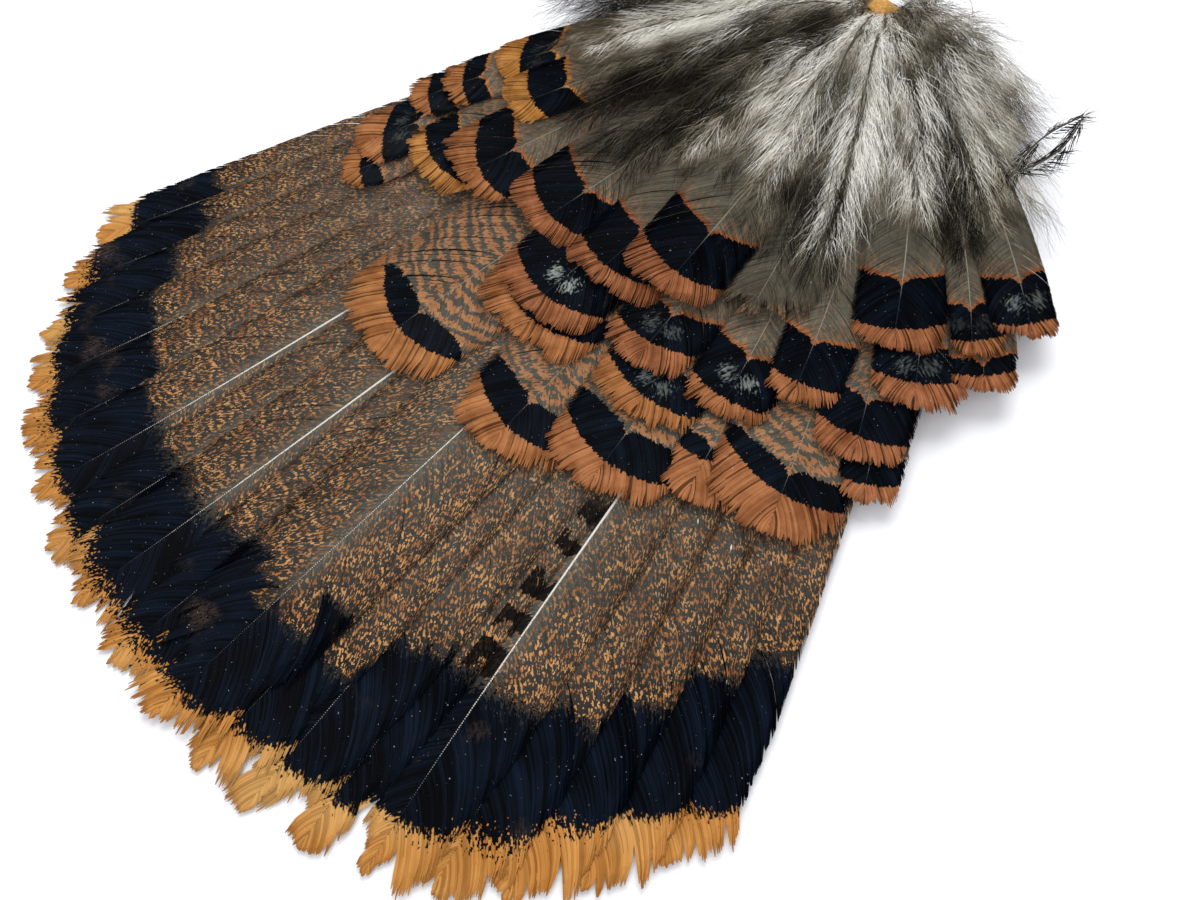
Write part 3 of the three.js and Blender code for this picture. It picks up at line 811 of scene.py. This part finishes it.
def down_finish():
    """Down, matt and soft: locks from near black to cream, palest by the shafts and olive at the ends."""
    material, tree = new_material("down, matt")
    place = add(tree, PARTS, [add(tree, ATTRIBUTE, out="Vector", attribute_name="fibre_place")]).node.outputs
    tone = add(tree, ATTRIBUTE, out="Fac", attribute_name="plume_chance")
    is_shaft = add(tree, ATTRIBUTE, out="Fac", attribute_name="is_shaft")
    spot = add(tree, COORDINATES, out="Object")
    patches = add(tree, NOISE, {"Vector": spot, "Scale": 60.0, "Detail": 2.0})
    tone = shifted(tree, tone, patches, 1.3)
    faded = add(tree, TIMES_PLUS, [place[0], -0.6, tone])
    faded = add(tree, PLUS, [faded, add(tree, RANGE, [place[1], 0.35, 1.0, 0.22, -0.45])])
    dark = add(tree, BLEND, [place[2], colour("#080706"), colour("#1F1C17")])
    olive = add(tree, BLEND, [place[2], colour("#575040"), colour("#7A715C")])
    mid = add(tree, BLEND, [place[2], colour("#A19884"), colour("#BFB6A3")])
    pale = add(tree, BLEND, [place[2], colour("#EFEADE"), colour("#FFFEF8")])
    body = add(tree, BLEND, [add(tree, RANGE, [faded, -0.4, -0.1]), dark, olive])
    body = add(tree, BLEND, [add(tree, RANGE, [faded, -0.05, 0.2]), body, mid])
    body = add(tree, BLEND, [add(tree, RANGE, [faded, 0.2, 0.45]), body, pale])
    shaft = add(tree, BLEND, [add(tree, RANGE, [tone, 0.3, 0.8]), colour("#4A453C"), colour("#D8D0B8")])
    body = add(tree, BLEND, [is_shaft, body, shaft])
    surface = add(tree, SHADER, {"Base Color": body, "Roughness": 0.85, "Specular IOR Level": 0.1})
    add(tree, MATERIAL_OUTPUT, [surface])
    return material


# ---- Root of the tail ----

# The root's outline: how far it reaches towards the tips, behind and to each side, and where its wall stands.
ROOT_FRONT = 44.0
ROOT_BACK = 14.3
ROOT_HALF_WIDTH = 43.0
ROOT_BOTTOM = 0.2
ROOT_SIDE = 23.0
# The nub: where it stands, how high it rises over the sides, and the rings that close the top round it.
NUB_X, NUB_Y = 2.0, -5.0
NUB_HEIGHT = 8.5
NUB_TOP = 31.8
CLOSING = (0.85, 0.7, 0.56, 0.44, 0.34, 0.26, 0.2, 0.14, 0.09, 0.04)


def root_outline(turn):
    """Distance of the root's wall from the origin, by direction in radians (0 is towards the tips)."""
    forward = np.cos(turn)
    aside = np.sin(turn) / ROOT_HALF_WIDTH
    behind = 1.0 / np.sqrt(aside ** 2 + (np.minimum(forward, 0.0) / ROOT_BACK) ** 2 + 1e-9)
    return np.where(forward >= 0, ROOT_FRONT, behind)


def tail_root(finish):
    """Dried skin round the roots of the quills: wrinkled, with a fold between each quill and the next."""
    around, levels = 220, 26
    turn = np.linspace(0, math.tau, around, endpoint=False)
    quills = np.array([position_at(a, tip_radius(a / SPREAD_TIP)) for a in TAIL_ANGLES])
    quill_turns = np.radians(spread_at(QUILL_START) * quills - skew_at(QUILL_START) * quills ** 2)
    signed_turn = (turn + math.pi) % math.tau - math.pi
    nearest = np.min(np.abs(signed_turn[:, None] - quill_turns[None, :]), axis=1)
    folds = 1.6 * np.clip(nearest / 0.05, 0, 1) * (np.abs(signed_turn) < 1.1)
    points = []
    for level in range(levels):
        rise = level / (levels - 1)
        z = ROOT_BOTTOM + ROOT_SIDE * rise
        inset = 1.0 + 7.0 * np.abs(2 * rise - 1) ** 3.0 + 5.0 * max(0.0, rise - 0.55)
        for k, a in enumerate(turn):
            place = Vector((math.sin(a) * 3.0, math.cos(a) * 3.0, z * 0.09))
            crumple = 2.4 * noise.fractal(place * 1.6, 0.9, 2.2, 4)
            crumple += 0.8 * noise.fractal(place * 6.0, 1.0, 2.0, 3)
            r = root_outline(a) - inset - folds[k] - abs(crumple)
            points.append((r * math.sin(a), -r * math.cos(a), z))
    # The top closes round a nub of skin that stands up through the down.
    rim = points[-around:]
    for shrink in CLOSING:
        for rim_x, rim_y, _ in rim:
            x, y = NUB_X + (rim_x - NUB_X) * shrink, NUB_Y + (rim_y - NUB_Y) * shrink
            rise = NUB_HEIGHT * math.exp(-(math.hypot(x - NUB_X, y - NUB_Y) / 7.0) ** 2)
            crumple = noise.fractal(Vector((x, y, 3.0)) * 0.25, 0.9, 2.2, 4)
            points.append((x, y, ROOT_BOTTOM + ROOT_SIDE + rise + 0.9 * crumple))
    levels += len(CLOSING)
    faces = []
    for level in range(levels - 1):
        for k in range(around):
            a, b = level * around + k, level * around + (k + 1) % around
            faces.append((a, b, b + around, a + around))
    under, over = len(points), len(points) + 1
    points += [(0.0, -12.0, ROOT_BOTTOM), (NUB_X, NUB_Y, NUB_TOP)]
    last = (levels - 1) * around
    for k in range(around):
        beside = (k + 1) % around
        faces.append((under, beside, k))
        faces.append((over, last + k, last + beside))
    mesh = bpy.data.meshes.new("tail_root_skin")
    mesh.from_pydata((np.array(points) * MM).tolist(), [], faces)
    mesh.shade_smooth()
    mesh.materials.append(finish)
    keep(put("tail_root_skin", mesh), "tail_root", "dried_skin")


def root_finish():
    """Dried skin, waxy: amber with darker brown patches and paler flecks, lighter towards the top, with a
    dull gloss.
    """
    material, tree = new_material("dried skin, waxy")
    spot = add(tree, COORDINATES, out="Object")
    broad = add(tree, NOISE, {"Vector": spot, "Scale": 90.0, "Detail": 4.0})
    fine = add(tree, NOISE, {"Vector": spot, "Scale": 700.0, "Detail": 4.0})
    skin = add(tree, BLEND, [add(tree, RANGE, [broad, 0.35, 0.65]), colour("#38250F"), colour("#86602F")])
    skin = add(tree, BLEND, [add(tree, RANGE, [fine, 0.55, 0.75, 0.0, 0.6]), skin, colour("#A37B45")])
    high = add(tree, RANGE, [add(tree, PARTS, [spot], out="Z"), 0.025, 0.029])
    skin = add(tree, BLEND, [high, skin, colour("#D39A44")])
    bump = add(tree, "ShaderNodeBump", {"Strength": 0.8, "Distance": 0.0012, "Height": fine})
    surface = add(tree, SHADER, {"Base Color": skin, "Roughness": 0.42, "Normal": bump})
    add(tree, MATERIAL_OUTPUT, [surface])
    return material


# ---- Finishes ----

def new_material(name):
    material = bpy.data.materials.new(name)
    material.use_nodes = True
    material.node_tree.nodes.clear()
    return material, material.node_tree


def dusted(tree, spot, under):
    """Specks of pale dust, under half a millimetre, over a colour."""
    dust = add(tree, NOISE, {"Vector": spot, "Scale": 1500.0, "Detail": 0.0})
    dust = add(tree, RANGE, [dust, 0.83, 0.87, 0.0, 0.5])
    return add(tree, BLEND, [dust, under, colour("#B9BEC6")])


def start_vane(name):
    """A vane's material and what its markings read: its places in mm, its own measures, and the barb's."""
    material, tree = new_material(name)
    triples = []
    for attribute in ("vane_place", "marks", "extras"):
        vector = add(tree, ATTRIBUTE, out="Vector", attribute_name=attribute)
        triples.append(add(tree, PARTS, [vector]).node.outputs)
    barb = add(tree, ATTRIBUTE, out="Vector", attribute_name="barb_place")
    chance = add(tree, PARTS, [barb], out="Z")
    return material, tree, *triples, barb, chance, add(tree, COORDINATES, out="Object")


def end_vane(tree, look, shade, shaft, gloss, barb, spot):
    """Shades each barb by its own amount, dusts the vane, draws the shaft over it and gives it its gloss."""
    grey = add(tree, "ShaderNodeCombineColor", [shade, shade, shade])
    look = add(tree, DARKENED, {"Factor": 1.0, "A": look, "B": grey})
    look = dusted(tree, spot, look)
    is_shaft = add(tree, ATTRIBUTE, out="Fac", attribute_name="is_shaft")
    look = add(tree, BLEND, [is_shaft, look, shaft])
    fine = add(tree, NOISE, {"Vector": barb, "Scale": 4.0, "Detail": 2.0})
    bump = add(tree, "ShaderNodeBump", {"Strength": 0.25, "Distance": 0.0002, "Height": fine})
    surface = add(tree, SHADER,
                  {"Base Color": look, "Roughness": gloss, "Normal": bump, "Specular IOR Level": 0.04})
    add(tree, MATERIAL_OUTPUT, [surface])


def tail_vane_finish():
    """Melanin-dark keratin barbs, satin: brown-black with fine tan flecks along the barbs, a blue-black band
    with a cool sheen, partly its gloss and partly painted sheen in lighter streaks, then a rust-gold tip."""
    material, tree, vane, marks, extras, barb, chance, spot = start_vane("tail feather keratin, satin")
    across, from_tip, tuft_chance = vane[0], vane[1], vane[2]
    tip_mm, band_mm, which_side = marks[0], marks[1], extras[0]

    # Flecks: about 0.6 mm across the barbs and 1.5 mm along them.
    fleck_at = add(tree, VECTOR_TIMES, [barb, (1 / 1.2, 1 / 1.7, 0.0)])
    flecks = add(tree, NOISE, {"Vector": fleck_at, "Scale": 1.0, "Detail": 1.0, "Roughness": 0.5})
    # Wavy rows across the vane, 3.4 mm apart, that gather the flecks.
    slow = add(tree, NOISE, {"Vector": spot, "Scale": 110.0, "Detail": 2.0})
    wave = add(tree, TIMES_PLUS, [slow, 12.0, from_tip])
    rows = add(tree, SINE, [add(tree, TIMES, [wave, math.tau / 3.4])])
    gathered = add(tree, TIMES_PLUS, [rows, 0.035, flecks])
    gathered = shifted(tree, gathered, slow, 0.12)
    tan = add(tree, SMOOTH_RANGE, [gathered, 0.54, 0.575, 0.0, 1.0])
    off_shaft = add(tree, ABSOLUTE, [across])
    by_shaft = add(tree, RANGE, [off_shaft, 0.5, 6.5, 0.35, 1.0])
    by_band = add(tree, RANGE, [from_tip, 190.0, 70.0, 0.6, 1.0])
    tan = add(tree, TIMES, [add(tree, TIMES, [tan, by_shaft]), by_band])
    hue = add(tree, NOISE, {"Vector": spot, "Scale": 190.0, "Detail": 1.0})
    fleck_colour = add(tree, BLEND, [add(tree, RANGE, [hue, 0.4, 0.6]), colour("#9D673E"), colour("#CC965F")])
    ground = add(tree, BLEND, [by_band, colour("#75736A"), colour("#423F3A")])
    ground = add(tree, BLEND, [by_shaft, colour("#66645B"), ground])
    # The vane is a little darker towards its edges, which is painted shade for the shadow lines where the
    # vanes overlap, and more so towards the band.
    band_end = add(tree, PLUS, [tip_mm, band_mm])
    edge = add(tree, RANGE, [off_shaft, 12.0, 22.0, 0.0, 0.45])
    by_edge = add(tree, RANGE, [add(tree, MINUS, [from_tip, band_end]), -4.0, 16.0, 0.85, 0.0])
    edge = add(tree, MOST, [edge, by_edge])
    ground = add(tree, BLEND, [edge, ground, colour("#24221F")])
    ground = add(tree, BLEND, [tan, ground, fleck_colour])

    # Black bars, 15 mm apart, where two feathers meet: from the shaft on a left vane, off it on a right one.
    flat_spot = add(tree, VECTOR_TIMES, [spot, (TO_MM, TO_MM, 0.0)])
    radius = add(tree, LENGTH, [flat_spot])
    bar_wave = add(tree, TIMES_PLUS, [slow, 20.0, radius])
    bar = add(tree, SINE, [add(tree, TIMES, [bar_wave, math.tau / 15.0])])
    bar = shifted(tree, bar, flecks, -2.5)
    bar = add(tree, RANGE, [bar, -0.3, 0.1, 0.0, 0.93])
    from_side = add(tree, TIMES, [across, which_side])
    meets = add(tree, ABOVE, [from_side, add(tree, RANGE, [which_side, -1.0, 1.0, 0.4, 6.5])])
    bar = add(tree, TIMES, [bar, meets])
    bar = add(tree, TIMES, [bar, add(tree, RANGE, [from_tip, 150.0, 135.0])])
    bar = add(tree, TIMES, [bar, add(tree, ABSOLUTE, [which_side])])
    ground = add(tree, BLEND, [bar, ground, colour("#08090C")])

    # The band. Both of its edges break up into flecks.
    rough_at = add(tree, VECTOR_TIMES, [barb, (1 / 1.1, 1 / 3.0, 1.0)])
    rough = add(tree, NOISE, {"Vector": rough_at, "Scale": 1.0, "Detail": 2.0})
    torn = shifted(tree, from_tip, rough, 10.0)
    speckled = add(tree, RANGE,
                   [add(tree, NOISE, {"Vector": spot, "Scale": 17.0, "Detail": 0.0}), 0.4, 0.65, -9.0, -30.0])
    torn = shifted(tree, torn, flecks, speckled)
    # Where the vane has split, its tufts carry the edge of the band with them in long teeth.
    split = add(tree, NOISE, {"Vector": spot, "Scale": 13.0, "Detail": 0.0})
    split = add(tree, RANGE, [split, 0.44, 0.56, 3.0, 20.0])
    teeth = shifted(tree, torn, tuft_chance, split)
    past_band = add(tree, MINUS, [teeth, band_end])
    # The gold follows the rounded corners of the tip.
    corner = add(tree, POWER, [add(tree, OVER, [off_shaft, 20.0]), 4.0])
    corner = add(tree, LEAST, [add(tree, TIMES, [corner, 7.0]), 10.0])
    past_tip = add(tree, MINUS, [add(tree, MINUS, [torn, tip_mm]), corner])
    in_band = add(tree, RANGE, [past_band, -0.7, 0.7, 1.0, 0.0])
    # Painted sheen: lighter streaks along the barbs, painted into the colours of the band and of the gold
    # tip.
    painted_sheen_at = add(tree, VECTOR_TIMES, [barb, (1 / 9.0, 1 / 26.0, 0.0)])
    painted_sheen = add(tree, NOISE, {"Vector": painted_sheen_at, "Scale": 1.0, "Detail": 2.0})
    tone_and_painted_sheen = add(tree, TIMES_PLUS, [chance, 0.25, painted_sheen])
    band = add(tree, BLEND, [add(tree, RANGE, [tone_and_painted_sheen, 0.5, 0.95]), colour("#030508"), colour("#0F1827")])
    # Worn brown-grey smudges, 12 to 20 mm across.
    worn = add(tree, NOISE, {"Vector": spot, "Scale": 38.0, "Detail": 3.0})
    worn = add(tree, TIMES,
               [add(tree, RANGE, [worn, 0.6, 0.72, 0.0, 0.75]), add(tree, RANGE, [flecks, 0.38, 0.6])])
    band = add(tree, BLEND, [worn, band, colour("#4E3F36")])
    result = add(tree, BLEND, [in_band, ground, band])

    # The tip, gold to rust: lighter where its streaks of painted sheen fall, and varying barb by barb.
    in_tip = add(tree, RANGE, [past_tip, -0.7, 0.7, 1.0, 0.0])
    pale_place = add(tree, NOISE, {"Vector": spot, "Scale": 24.0, "Detail": 1.0})
    gold = add(tree, BLEND, [add(tree, RANGE, [tone_and_painted_sheen, 0.35, 0.85]), colour("#A4682C"), colour("#C58D4C")])
    gold = add(tree, BLEND, [add(tree, RANGE, [pale_place, 0.5, 0.7, 0.0, 0.6]), gold, colour("#CFA566")])
    result = add(tree, BLEND, [in_tip, result, gold])

    # Slits of shade between barbs. The shaft is pale, and dark where it crosses the band.
    shade = add(tree, RANGE, [chance, 0.0, 1.0, 0.72, 1.12])
    shaft_pale = add(tree, RANGE, [from_tip, 20.0, 70.0, 0.0, 1.0])
    shaft = add(tree, BLEND, [shaft_pale, colour("#1D232B"), colour("#DAD5CA")])
    gloss = add(tree, RANGE, [in_band, 0.0, 1.0, 0.62, 0.45])
    end_vane(tree, result, shade, shaft, gloss, barb, spot)
    return material


def covert_finish():
    """Covert keratin, satin: a barred or olive-grey vane, a thin rust line, a blue-black band, now and then
    with two pale spots, and a fringe of loose rust barbs. The feather's attributes say how much of each."""
    material, tree, vane, marks, extras, barb, chance, spot = start_vane("covert keratin, satin")
    across, from_tip = vane[0], vane[1]
    fringe_mm, band_mm, plain = marks[0], marks[1], marks[2]
    spots, gold = extras[0], extras[1]

    # Flecks about 0.6 mm across the barbs and 1.5 mm along them, gathered into wavy bars every 5.5 mm.
    fleck_at = add(tree, VECTOR_TIMES, [barb, (1 / 1.15, 1 / 2.1, 0.0)])
    flecks = add(tree, NOISE, {"Vector": fleck_at, "Scale": 1.0, "Detail": 1.0})
    slow = add(tree, NOISE, {"Vector": spot, "Scale": 150.0, "Detail": 2.0})
    wave_at = add(tree, TIMES_PLUS, [slow, 9.0, from_tip])
    bars = add(tree, SINE, [add(tree, TIMES, [wave_at, math.tau / 5.5])])
    barred = add(tree, RANGE, [plain, 0.0, 0.6, 0.14, 0.0])
    bars = add(tree, TIMES_PLUS, [bars, barred, flecks])
    flecked = add(tree, SMOOTH_RANGE, [bars, 0.49, 0.55, 0.0, 1.0])
    fleck_colour = add(tree, BLEND, [slow, colour("#8E5C3A"), colour("#B2815A")])
    brown = add(tree, BLEND, [slow, colour("#3A3833"), colour("#625D52")])
    olive = add(tree, BLEND, [slow, colour("#4B4A3F"), colour("#777466")])
    ground = add(tree, BLEND, [plain, brown, olive])
    # A vane with no band darkens towards its loose end.
    loose = add(tree, TIMES,
                [add(tree, BELOW, [band_mm, 1.0]), add(tree, RANGE, [from_tip, 0.0, 34.0, 0.8, 0.0])])
    ground = add(tree, BLEND, [loose, ground, colour("#2F2B22")])

    # Where the band is: its inner edge is curved, so that it is a lens on the barred feathers.
    rough_at = add(tree, VECTOR_TIMES, [barb, (1 / 1.0, 1 / 3.0, 1.0)])
    rough = add(tree, NOISE, {"Vector": rough_at, "Scale": 1.0, "Detail": 1.0})
    torn = shifted(tree, from_tip, rough, 3.5)
    aside = add(tree, POWER, [add(tree, OVER, [across, CURVE_AT]), 4.0])
    lens = add(tree, RANGE, [plain, 0.0, 0.5, 0.8, 0.15])
    narrowing = add(tree, MINUS, [1.0, add(tree, TIMES, [aside, lens])])
    band_end = add(tree, TIMES_PLUS, [band_mm, narrowing, fringe_mm])
    notch = add(tree, RANGE, [add(tree, ABSOLUTE, [across]), 0.0, 3.0, 3.0, 0.0])
    band_end = add(tree, MINUS, [band_end, notch])
    past_band = add(tree, MINUS, [torn, band_end])
    past_fringe = add(tree, MINUS, [torn, fringe_mm])
    # A plain vane is freckled too where it meets its band.
    much = add(tree, MOST, [add(tree, RANGE, [plain, 0.1, 1.0, 0.95, 0.1]),
                            add(tree, RANGE, [past_band, 1.0, 14.0, 0.7, 0.0])])
    flecked = add(tree, TIMES, [flecked, much])
    ground = add(tree, BLEND, [flecked, ground, fleck_colour])

    slow_hue = add(tree, TIMES_PLUS, [chance, 0.45, add(tree, RANGE, [slow, 0.35, 0.65, 0.0, 0.55])])
    deep = add(tree, BLEND, [slow_hue, colour("#734226"), colour("#A46A46")])
    bright = add(tree, BLEND, [slow_hue, colour("#8F5A22"), colour("#C08A48")])
    rust = add(tree, BLEND, [gold, deep, bright])
    line_mm = add(tree, TIMES,
                  [add(tree, ABOVE, [band_mm, 0.0]), add(tree, RANGE, [plain, 0.2, 0.7, 0.0, 1.7])])
    in_line = add(tree, BELOW, [past_band, line_mm])
    result = add(tree, BLEND, [in_line, ground, rust])
    in_band = add(tree, BELOW, [past_band, 0.0])
    # Painted sheen: lighter streaks along the barbs, painted into the band's colour.
    painted_sheen = add(tree, NOISE, {"Vector": add(tree, VECTOR_TIMES, [barb, (1 / 8.0, 1 / 14.0, 0.0)]),
                             "Scale": 1.0, "Detail": 1.0})
    tone_and_painted_sheen = add(tree, TIMES_PLUS, [chance, 0.3, painted_sheen])
    band = add(tree, BLEND, [add(tree, RANGE, [tone_and_painted_sheen, 0.5, 1.0]), colour("#020407"), colour("#0C141F")])
    # Pale mottled spots beside the shaft, half way up the band.
    side_spot = add(tree, OVER, [add(tree, MINUS, [add(tree, ABSOLUTE, [across]), 4.2]), 3.2])
    up_band = add(tree, MINUS, [past_fringe, add(tree, TIMES, [band_mm, 0.45])])
    up_spot = add(tree, OVER, [up_band, 3.4])
    spread = add(tree, COMBINED, [side_spot, up_spot, 0.0])
    spot_edge = add(tree, LENGTH, [spread])
    mottle = add(tree, TIMES_PLUS, [flecks, 4.5, spot_edge])
    spotted = add(tree, RANGE, [mottle, 2.3, 3.3, 1.0, 0.0])
    spotted = add(tree, TIMES, [spotted, spots])
    band = add(tree, BLEND, [spotted, band, colour("#A9B3AB")])
    result = add(tree, BLEND, [in_band, result, band])
    in_fringe = add(tree, BELOW, [past_fringe, 0.0])
    result = add(tree, BLEND, [in_fringe, result, rust])
    # Here and there a barb of the fringe is darkened to a dark line: painted shade for a slit between the
    # barbs.
    turn_and_painted_slit_shade = add(tree, TIMES, [add(tree, BELOW, [chance, 0.16]), in_fringe])
    deepest = add(tree, RANGE, [plain, 0.0, 1.0, 0.8, 0.6])
    shade = add(tree, TIMES_PLUS, [turn_and_painted_slit_shade, -0.45, add(tree, RANGE, [chance, 0.0, 1.0, deepest, 1.12])])
    shaft = add(tree, BLEND, [add(tree, RANGE, [past_band, -6.0, 4.0]), colour("#2C3138"), colour("#8A8272")])
    gloss = add(tree, RANGE, [in_band, 0.0, 1.0, 0.65, 0.42])
    end_vane(tree, result, shade, shaft, gloss, barb, spot)
    return material


# ---- Table, light and camera ----

def stage():
    size = 3.0
    mesh = bpy.data.meshes.new("table")
    corners = [(-size, -size, 0), (size, -size, 0), (size, size, 0), (-size, size, 0)]
    mesh.from_pydata(corners, [], [(0, 1, 2, 3)])
    material, tree = new_material("matt white card")
    surface = add(tree, SHADER, {"Base Color": colour("#F6F6F8"), "Roughness": 0.9})
    add(tree, MATERIAL_OUTPUT, [surface])
    mesh.materials.append(material)
    put("table", mesh)


def lights():
    world = bpy.data.worlds.new("studio")
    bpy.context.scene.world = world
    world.use_nodes = True
    world.node_tree.nodes["Background"].inputs["Color"].default_value = colour("#F4F6FA")
    world.node_tree.nodes["Background"].inputs["Strength"].default_value = 0.75
    for name, place, size, power in (("overhead", (-0.35, 0.45, 1.1), 0.9, 12.0),
                                     ("front", (0.5, -1.0, 1.2), 1.2, 5.0)):
        lamp = bpy.data.lights.new(name, "AREA")
        lamp.size = size
        lamp.energy = power
        holder = put(name, lamp)
        holder.location = place
        aim = Vector((0.0, -0.18, 0.0)) - Vector(place)
        holder.rotation_euler = aim.to_track_quat("-Z", "Y").to_euler()
    bpy.context.scene.view_settings.view_transform = "Standard"


# Where the camera stands, the way it faces from +X round to +Y, how far down it looks, and its roll.
CAMERA_AT = (194.855, -310.832, 289.45)
FACES = 147.0
LOOK_DOWN = 60.0
ROLL = -12.0321


def camera():
    """Looks down on the fan from its right front."""
    lens = bpy.data.cameras.new("camera")
    lens.lens = 28.5
    lens.sensor_width = 36.0
    turn = Matrix.Rotation(math.radians(FACES - 90.0), 4, "Z")
    turn @= Matrix.Rotation(math.radians(90.0 - LOOK_DOWN), 4, "X")
    turn @= Matrix.Rotation(math.radians(ROLL), 4, "Z")
    holder = put("camera", lens)
    holder.matrix_world = Matrix.Translation(Vector(CAMERA_AT) * MM) @ turn
    bpy.context.scene.camera = holder


camera()
stage()
lights()
feather = feather_tree()
tail_feathers(feather, tail_vane_finish())
coverts(feather, covert_finish())
rump_down(down_tree(), down_finish())
tail_root(root_finish())
